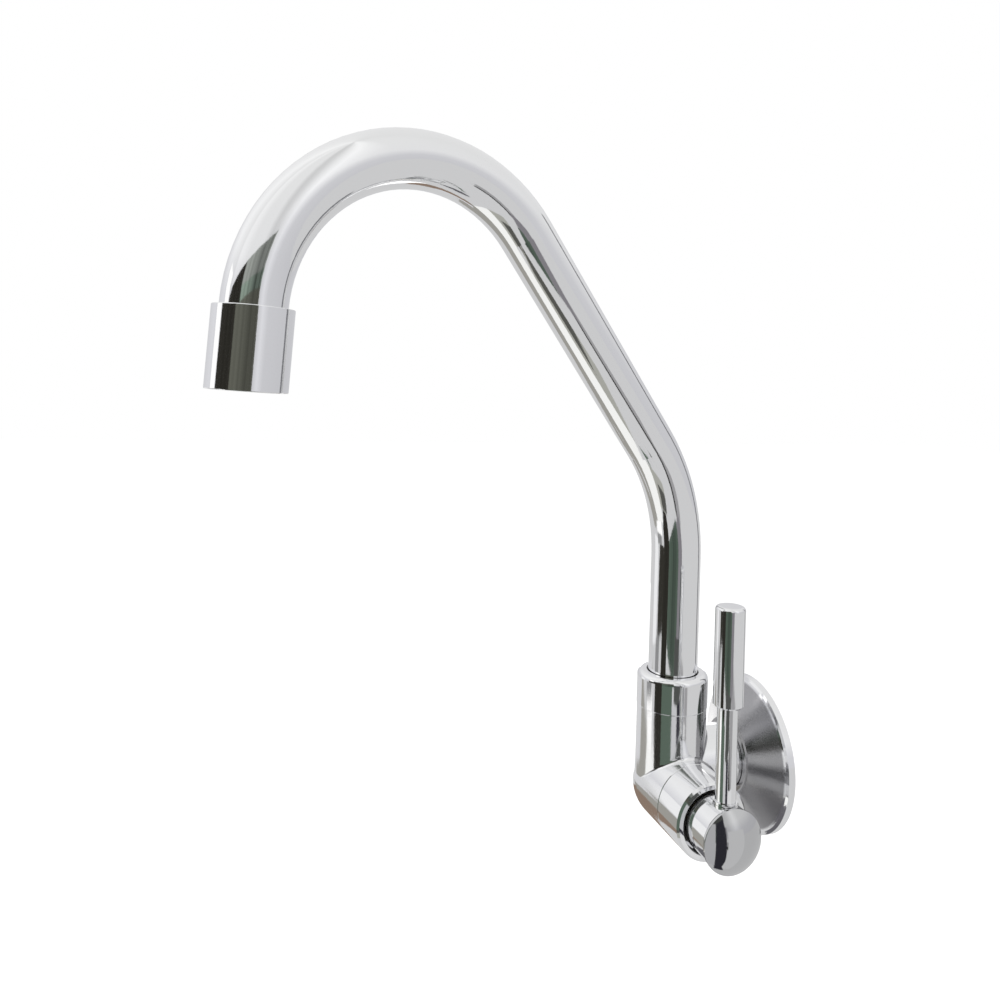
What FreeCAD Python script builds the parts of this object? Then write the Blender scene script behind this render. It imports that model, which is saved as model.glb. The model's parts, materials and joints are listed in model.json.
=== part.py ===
import math
import os
import re

import FreeCAD
import Part
import Sketcher

# A wall-mounted kitchen tap: one cold inlet, a quarter-turn valve on the right
# and a swan-neck spout that swivels on top of the body. Millimetres and degrees.
# The origin lies on the inlet axis where it meets the wall. +Z is up, +Y goes
# into the wall, and the valve barrel points along +X.

SIZES = {
    # places of the three axes
    "wall_reach": 38.0,
    "valve_drop": 8.5,
    "swing_angle": 16.7,
    # gaps between pieces: clamped, turning in a hole, and passing freely
    "seat_gap": 0.05,
    "turning_gap": 0.06,
    "free_gap": 0.3,
    "groove_gap": 0.2,
    # bevel at the seams, and how far a cut goes past a face
    "seam_edge": 0.15,
    "overshoot": 1.0,
    # body casting
    "body_radius": 14.1,
    "body_height": 31.8,
    "barrel_radius": 14.6,
    "barrel_length": 18.0,
    "blend_radius": 1.4,
    "body_neck_wall": 1.62,
    "body_neck_height": 5.2,
    "socket_depth": 15.0,
    "outlet_port_radius": 5.2,
    "outlet_port_shift": 4.0,
    "boss_radius": 12.5,
    "boss_to_wall": 4.0,
    "inlet_thread_depth": 14.0,
    "inlet_bore_radius": 7.5,
    "inlet_bore_depth": 21.0,
    "feed_radius": 2.8,
    "feed_shift": 6.5,
    "feed_rise": 2.5,
    "seat_place": 4.0,
    "seat_port_radius": 3.2,
    "seat_port_depth": 5.0,
    "seat_seal_gap": 0.6,
    "chamber_radius": 8.8,
    "chamber_end": 8.0,
    # inlet nipple with its outside thread
    "inlet_thread_radius": 10.4775,
    "inlet_thread_length": 14.0,
    "thread_chamfer": 1.0,
    "thread_relief_radius": 9.6,
    "thread_relief_end": 0.5,
    # collar nut that holds the spout down
    "collar_radius": 14.3,
    "collar_height": 13.4,
    "collar_lip": 3.0,
    "collar_shoulder": 2.2,
    "collar_wall": 1.3,
    "collar_hole_gap": 0.5,
    # swan-neck tube
    "tube_radius": 10.0,
    "tube_wall": 1.2,
    "knee_rise": 80.75,
    "knee_radius": 72.0,
    "bend_angle": 40.0,
    "slope_length": 100.3,
    "arch_radius": 55.5,
    "lean_angle": 2.7,
    "tube_tail": 3.0,
    # ferrule at the foot of the tube
    "ferrule_radius": 11.2,
    "ferrule_bore_radius": 8.0,
    "ferrule_floor_gap": 0.5,
    "spigot_length": 8.0,
    "spout_seal_cord": 1.7,
    "spout_seal_first": 3.5,
    "spout_seal_pitch": 5.0,
    # outlet thread and aerator
    "outlet_thread_radius": 10.9,
    "outlet_thread_length": 7.0,
    "outlet_spigot_length": 4.8,
    "outlet_bore_radius": 7.2,
    "aerator_radius": 12.1,
    "aerator_length": 24.9,
    "aerator_lip_radius": 9.3,
    "aerator_lip": 1.2,
    "aerator_edge": 0.3,
    "aerator_gasket_height": 1.8,
    "aerator_gasket_bore": 7.6,
    "diffuser_height": 2.5,
    "diffuser_hole_radius": 0.55,
    "diffuser_inner_ring": 4.0,
    "diffuser_outer_ring": 7.0,
    "diffuser_inner_count": 8,
    "diffuser_outer_count": 14,
    "cage_wall": 1.5,
    "cage_rib": 1.0,
    "screen_height": 0.4,
    "screen_hole_radius": 0.5,
    # valve cartridge
    "gasket_height": 2.3,
    "disc_radius": 7.4,
    "disc_height": 3.2,
    "disc_port_radius": 2.0,
    "disc_port_place": 4.2,
    "disc_port_count": 2,
    "housing_wall": 0.9,
    "housing_thread_radius": 9.4,
    "housing_shoulder_gap": 0.5,
    "housing_top": 29.0,
    "housing_neck_radius": 7.4,
    "window_width": 7.0,
    "window_length": 4.6,
    "window_place": 1.6,
    "hex_clearance": 0.8,
    "hex_height": 3.4,
    "hex_gap": 0.15,
    "mouth_seal_height": 1.4,
    "mouth_seal_width": 1.1,
    "spindle_radius": 4.0,
    "spindle_head_height": 3.0,
    "spindle_end": 41.0,
    "spline_length": 8.0,
    "spline_radius": 0.3,
    "spline_count": 20,
    "spindle_seal_cord": 1.1,
    "spindle_seal_place": 14.0,
    "spindle_seal_pitch": 4.5,
    "clip_radius": 6.0,
    "clip_height": 0.9,
    "clip_groove_depth": 0.6,
    # shroud over the cartridge
    "shroud_length": 15.4,
    "shroud_wall": 1.4,
    "shroud_web": 1.8,
    "shroud_edge": 0.8,
    "shroud_lip": 1.2,
    "shroud_mouth_gap": 1.1,
    # handle hub, its cap and its screw
    "hub_step": 3.5,
    "hub_start": 31.2,
    "hub_end": 46.2,
    "hub_recess_radius": 8.5,
    "hub_recess_depth": 1.6,
    "hub_edge": 0.5,
    "cap_overhang": 0.6,
    "cap_rim": 1.1,
    "cap_dome": 4.4,
    "cap_edge": 0.35,
    "cap_gap": 0.15,
    "cap_spigot_wall": 1.3,
    "screw_radius": 1.9,
    "screw_length": 8.0,
    "screw_head_radius": 3.6,
    "screw_head_height": 1.9,
    "screw_head_gap": 0.6,
    "screw_tip_gap": 1.0,
    "screw_key_radius": 1.25,
    # lever
    "lever_place": 41.6,
    "lever_boss_radius": 4.5,
    "lever_boss_rise": 0.3,
    "lever_boss_root": 2.0,
    "lever_ring_radius": 4.4,
    "lever_ring_height": 0.9,
    "stem_radius": 3.8,
    "stud_radius": 2.4,
    "stud_bottom": 5.6,
    "stud_top_length": 9.0,
    "grip_start": 46.1,
    "grip_length": 36.1,
    "grip_radius": 5.5,
    "grip_edge": 1.3,
    # wall flange
    "flange_radius": 31.0,
    "flange_rim": 2.9,
    "flange_lip": 1.3,
    "flange_bevel": 0.3,
    "flange_edge": 0.4,
    "flange_dish_rise": 10.6,
    "flange_dish_bow": 70.0,
    "flange_height": 12.0,
    "flange_neck_radius": 14.8,
    "flange_back_radius": 16.2,
    "flange_back_rise": 5.0,
    "flange_skin": 1.5,
    "flange_seal_cord": 1.4,
    "flange_seal_place": 9.4,
}

NEAR = 1e-4
FULL_TURN = 360
HEX_SIDES = 6

# points of a sketch's lines and circles, and its origin, as constraints number them
START, END, CENTRE = 1, 2, 3
ORIGIN = (-1, START)

doc = FreeCAD.newDocument("wall_tap")
sheet = doc.addObject("Spreadsheet::Sheet", "sizes")
for row, (alias, size) in enumerate(SIZES.items(), start=1):
    sheet.set(f"A{row}", alias)
    sheet.set(f"B{row}", str(size))
    sheet.setAlias(f"B{row}", alias)
doc.recompute()

pieces = []


def bound(expression):
    """The expression with each size's name led by the name of its sheet."""
    return re.sub(r"[a-z]\w*", lambda word: "sizes." * (word[0] in SIZES) + word[0], expression)


def value(expression):
    """What an expression comes to with the sheet's sizes."""
    return float(sheet.evalExpression(bound(expression)))


# Frames. The riser frame stands where the spout axis crosses the valve axis,
# the wall frames look into and out of the wall along the inlet axis, and the
# spout frames follow the swing of the tube and the lean of its outlet.
RISER = "placement(vector(0; -wall_reach; -valve_drop); rotation(vector(0; 0; 1); 0))"
INTO_WALL = "placement(vector(0; 0; 0); rotation(vector(1; 0; 0); -90))"
OUT_OF_WALL = "placement(vector(0; 0; 0); rotation(vector(1; 0; 0); 90))"
SPOUT = "placement(vector(0; -wall_reach; -valve_drop); rotation(vector(0; 0; 1); swing_angle - 90))"
LEVER = "placement(vector(lever_place; -wall_reach; -valve_drop); rotation(vector(0; 0; 1); 0))"

TUBE_FOOT = "(body_height + body_neck_height)"
KNEE_START = f"({TUBE_FOOT} + knee_rise - knee_radius * tan(bend_angle / 2))"
KNEE_END_OUT = "(knee_radius * (1 - cos(bend_angle)))"
KNEE_END_UP = f"({KNEE_START} + knee_radius * sin(bend_angle))"
SLOPE_END_OUT = f"({KNEE_END_OUT} + slope_length * sin(bend_angle))"
SLOPE_END_UP = f"({KNEE_END_UP} + slope_length * cos(bend_angle))"
ARCH_OUT = f"({SLOPE_END_OUT} + arch_radius * cos(bend_angle))"
ARCH_UP = f"({SLOPE_END_UP} - arch_radius * sin(bend_angle))"
OUTLET_OUT = f"({ARCH_OUT} + arch_radius * cos(lean_angle))"
OUTLET_UP = f"({ARCH_UP} + arch_radius * sin(lean_angle))"
TAIL_OUT = f"({OUTLET_OUT} + tube_tail * sin(lean_angle))"
TAIL_UP = f"({OUTLET_UP} - tube_tail * cos(lean_angle))"
OUTLET = (f"{SPOUT} * placement(vector({OUTLET_OUT}; 0; {OUTLET_UP});"
          " rotation(vector(0; 1; 0); 180 - lean_angle))")


def new_body(label, frame):
    """A body that stands in one of the frames and becomes a file of its own."""
    body = doc.addObject("PartDesign::Body", label)
    body.setExpression("Placement", bound(frame))
    pieces.append(body)
    return body


def new_sketch(body, role, lift=None):
    """An empty sketch on one of the body's own planes, raised along its normal."""
    plane = next(item for item in body.Origin.OriginFeatures if item.Role == role)
    sketch = body.newObject("Sketcher::SketchObject", body.Name + "_sketch")
    sketch.AttachmentSupport = [(plane, "")]
    sketch.MapMode = "FlatFace"
    if lift is not None:
        sketch.setExpression("AttachmentOffset.Base.z", bound(lift))
    return sketch


def hold(sketch, kind, places, expression):
    """A dimension in the sketch that follows an expression."""
    index = sketch.addConstraint(Sketcher.Constraint(kind, *places, value(expression)))
    sketch.setExpression(f"Constraints[{index}]", bound(expression))


def bowed(start, end, radius):
    """The arc from start to end: its centre lies left of the way for a positive radius."""
    chord = end - start
    side = FreeCAD.Vector(-chord.y, chord.x, 0).normalize()
    rise = math.sqrt(max(radius ** 2 - (chord.Length / 2) ** 2, 0.0))
    centre = (start + end) / 2 + side * math.copysign(rise, radius)
    first, last = (start, end) if radius > 0 else (end, start)
    angles = [math.atan2(point.y - centre.y, point.x - centre.x) for point in (first, last)]
    circle = Part.Circle(centre, FreeCAD.Vector(0, 0, 1), abs(radius))
    return Part.ArcOfCircle(circle, *angles)


def outline(body, role, corners, bows=None, lift=None, closed=True):
    """A sketch through the corners; bows gives the radius of each side that is an arc."""
    sketch = new_sketch(body, role, lift)
    bows = bows or {}
    points = [FreeCAD.Vector(value(x), value(y), 0) for x, y in corners]
    count = len(points) if closed else len(points) - 1
    ends = []
    for index in range(count):
        start, end = points[index], points[(index + 1) % len(points)]
        if index in bows:
            radius = value(bows[index])
            side = sketch.addGeometry(bowed(start, end, radius), False)
            ends.append((side, START, END) if radius > 0 else (side, END, START))
            hold(sketch, "Radius", (side,), f"abs({bows[index]})")
        else:
            side = sketch.addGeometry(Part.LineSegment(start, end), False)
            ends.append((side, START, END))
    around = ends[:1] if closed else []
    for (side, _, last), (following, first, _) in zip(ends, ends[1:] + around):
        sketch.addConstraint(Sketcher.Constraint("Coincident", side, last, following, first))
    places = [(side, first) for side, first, _ in ends]
    if not closed:
        places.append((ends[-1][0], ends[-1][2]))
    for (side, end), (across, along) in zip(places, corners):
        hold(sketch, "DistanceX", (*ORIGIN, side, end), across)
        hold(sketch, "DistanceY", (*ORIGIN, side, end), along)
    return sketch


def circle(body, role, radius, across="0", along="0", lift=None):
    """A sketch of one circle."""
    sketch = new_sketch(body, role, lift)
    centre = FreeCAD.Vector(value(across), value(along), 0)
    ring = sketch.addGeometry(Part.Circle(centre, FreeCAD.Vector(0, 0, 1), value(radius)), False)
    hold(sketch, "DistanceX", (*ORIGIN, ring, CENTRE), across)
    hold(sketch, "DistanceY", (*ORIGIN, ring, CENTRE), along)
    hold(sketch, "Radius", (ring,), radius)
    return sketch


def turn(body, sketch, axis="V_Axis", cut=False):
    """Turn a sketch once round one of its own axes, to add or to cut."""
    kind = "PartDesign::Groove" if cut else "PartDesign::Revolution"
    feature = body.newObject(kind, body.Name + "_turn")
    feature.Profile = sketch
    feature.ReferenceAxis = (sketch, [axis])
    feature.Angle = FULL_TURN
    return feature


def pad(body, sketch, length, reverse=False):
    """Raise a sketch by a length."""
    feature = body.newObject("PartDesign::Pad", body.Name + "_pad")
    feature.Profile = sketch
    feature.Reversed = reverse
    feature.setExpression("Length", bound(length))
    return feature


def pocket(body, sketch, length, reverse=False, both_ways=False):
    """Cut a sketch into the body, and stop with an error if nothing is cut."""
    doc.recompute()
    before = body.Shape.Volume
    feature = body.newObject("PartDesign::Pocket", body.Name + "_pocket")
    feature.Profile = sketch
    feature.Reversed = reverse
    feature.Midplane = both_ways
    feature.setExpression("Length", bound(length))
    doc.recompute()
    if body.Shape.Volume >= before:
        raise ValueError(f"a pocket cuts nothing from {body.Label}")
    return feature


def pattern(body, feature, axis, count):
    """Repeat a feature evenly round one of the body's own axes."""
    copies = body.newObject("PartDesign::PolarPattern", body.Name + "_pattern")
    copies.Originals = [feature]
    line = next(item for item in body.Origin.OriginFeatures if item.Role == axis)
    copies.Axis = (line, [""])
    copies.Angle = FULL_TURN
    copies.setExpression("Occurrences", bound(count))
    body.Tip = copies
    return copies


def rims(body, places, across):
    """Names of the round edges at (radius, place along the axis) in the body's own frame."""
    doc.recompute()
    tip = body.Tip
    found = []
    for radius, place in places:
        for index, edge in enumerate(tip.Shape.Edges, start=1):
            if edge.Degenerated or not isinstance(edge.Curve, Part.Circle):
                continue
            at = edge.Curve.Center.x if across else edge.Curve.Center.z
            if math.isclose(edge.Curve.Radius, value(radius), abs_tol=NEAR) and \
                    math.isclose(at, value(place), abs_tol=NEAR):
                found.append(f"Edge{index}")
    return found


def soften(body, kind, size, places, across=False):
    """Round (Fillet) or bevel (Chamfer) the round edges at the places."""
    names = rims(body, places, across)
    base = body.Tip
    feature = body.newObject("PartDesign::" + kind, body.Name + "_edge")
    feature.Base = (base, names)
    feature.setExpression("Radius" if kind == "Fillet" else "Size", bound(size))
    return feature


def turned(label, frame, corners, bows=None, axis="V_Axis"):
    """A piece made on a lathe: round Z from (radius, height), or round X from (place, radius)."""
    body = new_body(label, frame)
    turn(body, outline(body, "XZ_Plane", corners, bows), axis)
    return body


def tube_ring(label, frame, inner, outer, bottom, top, axis="V_Axis"):
    """A plain ring between two radii and two places on its axis."""
    corners = [(inner, bottom), (outer, bottom), (outer, top), (inner, top)]
    if axis == "H_Axis":
        corners = [(along, radius) for radius, along in corners]
    return turned(label, frame, corners, axis=axis)


def seal_rings(label, frame, inner, outer, places):
    """Round rubber rings about the frame's Z axis, kept as one group."""
    rings = []
    for place in places:
        ring = doc.addObject("Part::Torus", label + "_ring")
        ring.setExpression("Radius1", bound(f"({inner} + {outer}) / 2"))
        ring.setExpression("Radius2", bound(f"({outer} - {inner}) / 2"))
        ring.setExpression("Placement", bound(f"{frame} * placement(vector(0; 0; {place});"
                                              " rotation(vector(0; 0; 1); 0))"))
        rings.append(ring)
    if len(rings) == 1:
        rings[0].Label = label
        pieces.append(rings[0])
        return
    group = doc.addObject("Part::Compound", label)
    group.Links = rings
    pieces.append(group)


NECK_RADIUS = "(ferrule_radius + turning_gap + body_neck_wall)"
SOCKET_RADIUS = "(ferrule_radius + turning_gap)"
SOCKET_FLOOR = f"({TUBE_FOOT} - socket_depth)"
BOSS_END = "(wall_reach - boss_to_wall)"
HOUSING_BORE_RADIUS = "(disc_radius + free_gap)"
HOUSING_RADIUS = f"({HOUSING_BORE_RADIUS} + housing_wall)"
THREAD_BORE_RADIUS = "(housing_thread_radius + seat_gap)"
MOUTH_RADIUS = "(housing_thread_radius + mouth_seal_width + seat_gap)"
SHROUD_BORE_RADIUS = "(barrel_radius - shroud_wall)"
HUB_RADIUS = "(barrel_radius - hub_step)"
CAP_RADIUS = f"({HUB_RADIUS} + cap_overhang)"
LEVER_BOSS_TOP = f"({HUB_RADIUS} + lever_boss_rise)"


def tap_body():
    """Cast elbow: spout socket on top, valve barrel to the right, inlet boss behind."""
    body = new_body("tap_body", RISER)
    barrel = [("-barrel_radius", "0"), ("0", "barrel_radius"),
              ("barrel_length", "barrel_radius"), ("barrel_length", "0")]
    turn(body, outline(body, "XZ_Plane", barrel, {0: "-barrel_radius"}), "H_Axis")
    riser = [("0", "-body_radius"), ("body_radius", "0"), ("body_radius", "body_height"),
             ("0", "body_height")]
    turn(body, outline(body, "XZ_Plane", riser, {0: "body_radius"}))
    pad(body, circle(body, "XZ_Plane", "boss_radius", "0", "valve_drop"), BOSS_END, reverse=True)
    blend(body)
    neck = [("0", "body_height"), (NECK_RADIUS, "body_height"),
            (NECK_RADIUS, TUBE_FOOT), ("0", TUBE_FOOT)]
    turn(body, outline(body, "XZ_Plane", neck))
    socket = [("0", SOCKET_FLOOR), (SOCKET_RADIUS, SOCKET_FLOOR),
              (SOCKET_RADIUS, f"{TUBE_FOOT} + overshoot"), ("0", f"{TUBE_FOOT} + overshoot")]
    turn(body, outline(body, "XZ_Plane", socket), cut=True)
    chamber = [("-seat_place - seat_port_depth", "0"),
               ("-seat_place - seat_port_depth", "seat_port_radius"),
               ("-seat_place", "seat_port_radius"), ("-seat_place", "chamber_radius"),
               ("chamber_end", "chamber_radius"), ("chamber_end", THREAD_BORE_RADIUS),
               ("barrel_length - mouth_seal_height", THREAD_BORE_RADIUS),
               ("barrel_length - mouth_seal_height", MOUTH_RADIUS),
               ("barrel_length + overshoot", MOUTH_RADIUS), ("barrel_length + overshoot", "0")]
    turn(body, outline(body, "XZ_Plane", chamber), "H_Axis", cut=True)
    port = circle(body, "XY_Plane", "outlet_port_radius", "outlet_port_shift")
    pocket(body, port, SOCKET_FLOOR, reverse=True)
    thread = circle(body, "XZ_Plane", "inlet_thread_radius + seat_gap", "0", "valve_drop",
                    f"inlet_thread_depth - {BOSS_END}")
    pocket(body, thread, "inlet_thread_depth + overshoot")
    bore = circle(body, "XZ_Plane", "inlet_bore_radius", "0", "valve_drop",
                  f"inlet_bore_depth - {BOSS_END}")
    pocket(body, bore, "inlet_bore_depth")
    feed = circle(body, "XZ_Plane", "feed_radius", "-feed_shift", "feed_rise")
    pocket(body, feed, f"{BOSS_END} - inlet_bore_depth + overshoot")
    soften(body, "Chamfer", "seam_edge", [("body_radius", "body_height")])
    soften(body, "Chamfer", "seam_edge", [("barrel_radius", "barrel_length")], across=True)


def blend(body):
    """Round the inside corners where the three cylinders of the casting meet."""
    doc.recompute()
    base = body.Tip
    names = []
    for index, edge in enumerate(base.Shape.Edges, start=1):
        if edge.Degenerated or isinstance(edge.Curve, (Part.Line, Part.Circle)):
            continue
        names.append(f"Edge{index}")
    feature = body.newObject("PartDesign::Fillet", "tap_body_blend")
    feature.Base = (base, names)
    feature.setExpression("Radius", bound("blend_radius"))


def inlet_nipple():
    """Nipple threaded into the body and into the wall, with a relief between the threads."""
    start = "(seat_gap - boss_to_wall - inlet_thread_depth)"
    corners = [("inlet_bore_radius", start), ("inlet_thread_radius", start),
               ("inlet_thread_radius", "-boss_to_wall"), ("thread_relief_radius", "-boss_to_wall"),
               ("thread_relief_radius", "-thread_relief_end"),
               ("inlet_thread_radius", "-thread_relief_end"),
               ("inlet_thread_radius", "inlet_thread_length"),
               ("inlet_bore_radius", "inlet_thread_length")]
    body = turned("inlet_nipple", INTO_WALL, corners)
    soften(body, "Chamfer", "thread_chamfer",
           [("inlet_thread_radius", start), ("inlet_thread_radius", "inlet_thread_length")])


CAVITY_RADIUS = "(collar_radius - collar_wall)"
COLLAR_TOP = "(body_height + collar_height)"
COLLAR_LIP_BOTTOM = f"({COLLAR_TOP} - collar_lip)"
COLLAR_HOLE_RADIUS = "(tube_radius + collar_hole_gap)"


def collar_nut():
    """Nut with a rounded shoulder that screws on the body's neck round the tube."""
    bottom = "(body_height + seat_gap)"
    corners = [(CAVITY_RADIUS, bottom), ("collar_radius", bottom), ("collar_radius", COLLAR_TOP),
               (COLLAR_HOLE_RADIUS, COLLAR_TOP), (COLLAR_HOLE_RADIUS, COLLAR_LIP_BOTTOM),
               (CAVITY_RADIUS, COLLAR_LIP_BOTTOM)]
    body = turned("collar_nut", RISER, corners)
    soften(body, "Fillet", "collar_shoulder", [("collar_radius", COLLAR_TOP)])
    soften(body, "Chamfer", "seam_edge", [("collar_radius", bottom)])


def bearing_bush():
    """Plastic bush between the neck and the collar's lip that keeps the ferrule down."""
    tube_ring("bearing_bush", RISER, "tube_radius + turning_gap", f"{CAVITY_RADIUS} - seat_gap",
              f"{TUBE_FOOT} + turning_gap", f"{COLLAR_LIP_BOTTOM} - seat_gap")


def spout_tube():
    """Bent tube: riser, knee, long slope, arch and a short tail inside the aerator."""
    body = new_body("spout_tube", SPOUT)
    stations = [("0", TUBE_FOOT), ("0", KNEE_START), (KNEE_END_OUT, KNEE_END_UP),
                (SLOPE_END_OUT, SLOPE_END_UP), (OUTLET_OUT, OUTLET_UP), (TAIL_OUT, TAIL_UP)]
    path = outline(body, "XZ_Plane", stations, {1: "-knee_radius", 3: "-arch_radius"},
                   closed=False)
    section = circle(body, "XY_Plane", "tube_radius", lift=TUBE_FOOT)
    bore = section.addGeometry(Part.Circle(FreeCAD.Vector(), FreeCAD.Vector(0, 0, 1),
                                           value("tube_radius - tube_wall")), False)
    section.addConstraint(Sketcher.Constraint("Coincident", 0, CENTRE, bore, CENTRE))
    hold(section, "Radius", (bore,), "tube_radius - tube_wall")
    pipe = body.newObject("PartDesign::AdditivePipe", "spout_tube_pipe")
    pipe.Profile = section
    pipe.Spine = (path, [])


SPIGOT_RADIUS = "(tube_radius - tube_wall - seat_gap)"
SPOUT_GROOVE_RADIUS = "(ferrule_radius - spout_seal_cord - seat_gap)"
SPOUT_GROOVE_HALF = "(spout_seal_cord / 2 + groove_gap)"
FERRULE_FOOT = f"({SOCKET_FLOOR} + ferrule_floor_gap)"
SPOUT_SEALS = [f"({FERRULE_FOOT} + spout_seal_first)",
               f"({FERRULE_FOOT} + spout_seal_first + spout_seal_pitch)"]


def grooved(radius, floor, half, places, lengthwise=False):
    """Corners of a shaft's side with a square groove at each place, from bottom to top."""
    corners = []
    for place in places:
        corners += [(radius, f"{place} - {half}"), (floor, f"{place} - {half}"),
                    (floor, f"{place} + {half}"), (radius, f"{place} + {half}")]
    if lengthwise:
        corners = [(along, size) for size, along in corners]
    return corners


def spout_ferrule():
    """Turned foot of the spout: spigot in the tube, two grooves for rubber rings."""
    top = f"({TUBE_FOOT} - seat_gap)"
    corners = [("ferrule_bore_radius", FERRULE_FOOT), ("ferrule_radius", FERRULE_FOOT)]
    corners += grooved("ferrule_radius", SPOUT_GROOVE_RADIUS, SPOUT_GROOVE_HALF, SPOUT_SEALS)
    corners += [("ferrule_radius", top), (SPIGOT_RADIUS, top),
                (SPIGOT_RADIUS, f"{TUBE_FOOT} + spigot_length"),
                ("ferrule_bore_radius", f"{TUBE_FOOT} + spigot_length")]
    turned("spout_ferrule", SPOUT, corners)


def spout_seals():
    """Two rubber rings in the ferrule's grooves."""
    seal_rings("spout_o_rings", SPOUT, "(ferrule_radius - spout_seal_cord)",
               f"({SOCKET_RADIUS} - turning_gap / 2)", SPOUT_SEALS)


FERRULE_END = "(tube_tail + outlet_thread_length)"
GASKET_END = f"({FERRULE_END} + aerator_gasket_height)"
DIFFUSER_END = f"({GASKET_END} + diffuser_height)"
SCREEN_END = "(aerator_length - aerator_lip - seat_gap)"
CAGE_END = f"({SCREEN_END} - screen_height)"
AERATOR_BORE_RADIUS = "(outlet_thread_radius + seat_gap)"
INSERT_RADIUS = f"({AERATOR_BORE_RADIUS} - seat_gap)"


def outlet_ferrule():
    """Threaded end of the tube that the aerator screws on."""
    corners = [("outlet_bore_radius", "tube_tail - outlet_spigot_length"),
               (SPIGOT_RADIUS, "tube_tail - outlet_spigot_length"),
               (SPIGOT_RADIUS, "tube_tail + seat_gap"),
               ("outlet_thread_radius", "tube_tail + seat_gap"),
               ("outlet_thread_radius", FERRULE_END), ("outlet_bore_radius", FERRULE_END)]
    turned("outlet_ferrule", OUTLET, corners)


def aerator_housing():
    """Smooth round shell screwed on the outlet, with a lip that holds the insert."""
    lip = "(aerator_length - aerator_lip)"
    corners = [(AERATOR_BORE_RADIUS, "0"), ("aerator_radius", "0"),
               ("aerator_radius", "aerator_length"), ("aerator_lip_radius", "aerator_length"),
               ("aerator_lip_radius", lip), (AERATOR_BORE_RADIUS, lip)]
    body = turned("aerator_housing", OUTLET, corners)
    soften(body, "Fillet", "aerator_edge",
           [("aerator_radius", "0"), ("aerator_radius", "aerator_length")])


def aerator_gasket():
    """Flat rubber ring between the outlet thread and the insert."""
    tube_ring("aerator_gasket", OUTLET, "aerator_gasket_bore", INSERT_RADIUS,
              f"{FERRULE_END} + seat_gap", f"{GASKET_END} - seat_gap")


def perforated(label, bottom, top, hole):
    """A round plate of the insert with two rings of holes and one in the middle."""
    corners = [("0", bottom), (INSERT_RADIUS, bottom), (INSERT_RADIUS, top), ("0", top)]
    body = turned(label, OUTLET, corners)
    depth = f"({top} - {bottom})"
    pocket(body, circle(body, "XY_Plane", hole, lift=top), depth)
    for place, count in (("diffuser_inner_ring", "diffuser_inner_count"),
                         ("diffuser_outer_ring", "diffuser_outer_count")):
        drilled = pocket(body, circle(body, "XY_Plane", hole, place, lift=top), depth)
        pattern(body, drilled, "Z_Axis", count)


def aerator_diffuser():
    """Plastic plate whose small holes break the stream up."""
    perforated("aerator_diffuser", GASKET_END, f"({DIFFUSER_END} - seat_gap)",
               "diffuser_hole_radius")


def aerator_cage():
    """Plastic ring with a cross of ribs between the diffuser and the screen."""
    top = f"({CAGE_END} - seat_gap)"
    body = tube_ring("aerator_cage", OUTLET, f"{INSERT_RADIUS} - cage_wall", INSERT_RADIUS,
                     DIFFUSER_END, top)
    reach = f"({INSERT_RADIUS} - cage_wall / 2)"
    for across, along in ((reach, "cage_rib / 2"), ("cage_rib / 2", reach)):
        cross = [(f"-({across})", f"-({along})"), (across, f"-({along})"),
                 (across, along), (f"-({across})", along)]
        pad(body, outline(body, "XY_Plane", cross, lift=DIFFUSER_END), f"{top} - {DIFFUSER_END}")


def aerator_screen():
    """Thin perforated screen above the lip."""
    perforated("aerator_screen", CAGE_END, SCREEN_END, "screen_hole_radius")


GASKET_TOP = "(gasket_height - seat_place)"
FIXED_DISC_TOP = f"({GASKET_TOP} + seat_gap + disc_height)"
MOVING_DISC_TOP = f"({FIXED_DISC_TOP} + seat_gap + disc_height)"
SPINDLE_START = f"({MOVING_DISC_TOP} + seat_gap)"
SPINDLE_HEAD_TOP = f"({SPINDLE_START} + spindle_head_height)"
SPINDLE_BORE_RADIUS = "(spindle_radius + turning_gap)"
HEX_START = "(barrel_length + hex_gap)"
HEX_END = f"({HEX_START} + hex_height)"
CLIP_START = "(housing_top + free_gap)"
CLIP_END = f"({CLIP_START} + clip_height)"


def seat_seal():
    """Rubber ring that seals the cartridge on the body's seat."""
    tube_ring("seat_seal", RISER, "seat_port_radius + seat_seal_gap", "chamber_radius - free_gap",
              "seat_gap - seat_place", GASKET_TOP, "H_Axis")


def ported_disc(label, bottom, top, radius):
    """A ceramic disc with two round ports."""
    corners = [(bottom, "0"), (bottom, radius), (top, radius), (top, "0")]
    body = turned(label, RISER, corners, axis="H_Axis")
    port = circle(body, "YZ_Plane", "disc_port_radius", "disc_port_place", lift=top)
    drilled = pocket(body, port, "disc_height")
    pattern(body, drilled, "X_Axis", "disc_port_count")


def fixed_disc():
    """Ceramic disc that stands still in the housing."""
    ported_disc("fixed_disc", f"({GASKET_TOP} + seat_gap)", FIXED_DISC_TOP,
                f"({HOUSING_BORE_RADIUS} - seat_gap)")


def moving_disc():
    """Ceramic disc that the spindle turns."""
    ported_disc("moving_disc", f"({FIXED_DISC_TOP} + seat_gap)", MOVING_DISC_TOP, "disc_radius")


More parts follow.
